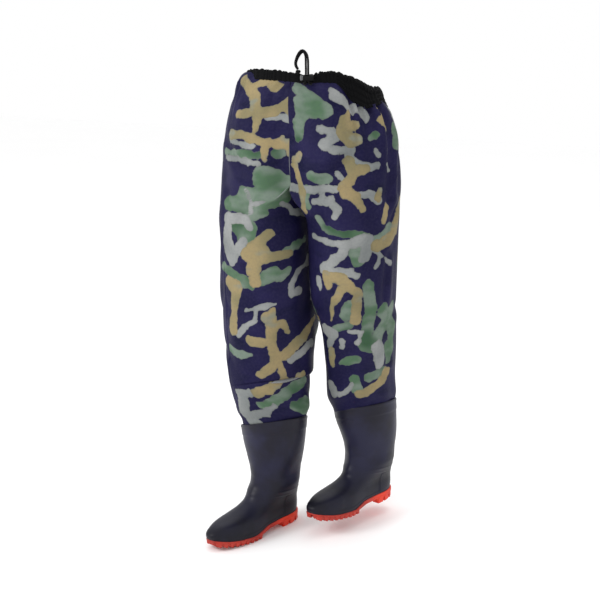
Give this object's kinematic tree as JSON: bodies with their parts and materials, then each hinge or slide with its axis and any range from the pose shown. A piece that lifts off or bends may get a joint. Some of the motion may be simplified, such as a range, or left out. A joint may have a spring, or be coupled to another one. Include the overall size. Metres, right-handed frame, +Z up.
{
  "type": "waders",
  "caption": "Waist-high camouflage waders: coated-fabric legs welded to moulded boots with lugged outsoles, elastic waistband with drawcord and cord lock.",
  "frame": {"origin": "the middle of the waist opening, level with the front of the rim", "axes": "+Z up, the toes towards -Y, the wearer's left at +X"},
  "size_m": [0.448, 0.4812, 1.2053],
  "materials": {
    "camo_fabric": "satin",
    "band_fabric": "matte",
    "elastic": "matte",
    "cord": "matte",
    "grey_plastic": "gloss",
    "black_plastic": "satin",
    "spring_steel": "satin",
    "seam_tape": "satin",
    "boot_pvc": "satin",
    "boot_lining": "matte",
    "sole_pvc": "satin"
  },
  "bodies": {
    "waist": {"waistband_front_casing": "band_fabric", "waistband_elastic_casing": "band_fabric", "waist_elastic": "elastic", "drawcord_run": "cord", "drawcord_right_end": "cord", "drawcord_left_end": "cord", "drawcord_knot": "cord", "drawcord_eyelets": "grey_plastic", "seat_front_right": "camo_fabric", "seat_front_left": "camo_fabric", "seat_back_right": "camo_fabric", "seat_back_left": "camo_fabric", "front_seam_tape": "seam_tape", "back_seam_tape": "seam_tape", "crotch_gusset": "camo_fabric"},
    "right_thigh": {"right_hip_fabric": "camo_fabric", "right_thigh_fabric": "camo_fabric", "right_leg_seam_tape": "seam_tape"},
    "left_thigh": {"left_hip_fabric": "camo_fabric", "left_thigh_fabric": "camo_fabric", "left_leg_seam_tape": "seam_tape"},
    "right_lower_leg": {"right_knee_fabric": "camo_fabric", "right_lower_leg_fabric": "camo_fabric", "right_boot_shell": "boot_pvc", "right_boot_cuff": "boot_pvc", "right_boot_lining": "boot_lining", "right_insole": "boot_lining", "right_outsole": "sole_pvc"},
    "left_lower_leg": {"left_knee_fabric": "camo_fabric", "left_lower_leg_fabric": "camo_fabric", "left_boot_shell": "boot_pvc", "left_boot_cuff": "boot_pvc", "left_boot_lining": "boot_lining", "left_insole": "boot_lining", "left_outsole": "sole_pvc"},
    "cord_lock": {"cord_lock_barrel": "black_plastic", "cord_lock_spring": "spring_steel"},
    "lock_plunger": {"cord_lock_plunger": "grey_plastic"}
  },
  "joints": [
    {"name": "right_hip", "type": "hinge", "parent": "waist", "child": "right_thigh", "pos_m": [-0.11, 0, -0.22], "axis": [-1, 0, 0], "range_deg": [-20, 90], "deforming": ["right_hip_fabric"]},
    {"name": "left_hip", "type": "hinge", "parent": "waist", "child": "left_thigh", "pos_m": [0.11, 0, -0.22], "axis": [-1, 0, 0], "range_deg": [-20, 90], "deforming": ["left_hip_fabric"]},
    {"name": "right_knee", "type": "hinge", "parent": "right_thigh", "child": "right_lower_leg", "pos_m": [-0.11, 0.002, -0.645], "axis": [1, 0, 0], "range_deg": [0, 100], "deforming": ["right_knee_fabric"]},
    {"name": "left_knee", "type": "hinge", "parent": "left_thigh", "child": "left_lower_leg", "pos_m": [0.102, 0.064, -0.612], "axis": [1, 0, 0], "range_deg": [0, 100], "deforming": ["left_knee_fabric"]},
    {"name": "cord_lock_slide", "type": "slide", "parent": "waist", "child": "cord_lock", "axis": [0, 0, 1], "range_m": [0, 0.015]},
    {"name": "plunger_press", "type": "slide", "parent": "cord_lock", "child": "lock_plunger", "axis": [0.965, 0.2624, 0], "range_m": [0, 0.003], "stiffness_N_per_m": 400, "springref_m": -0.003, "deforming": ["cord_lock_spring"]}
  ]
}
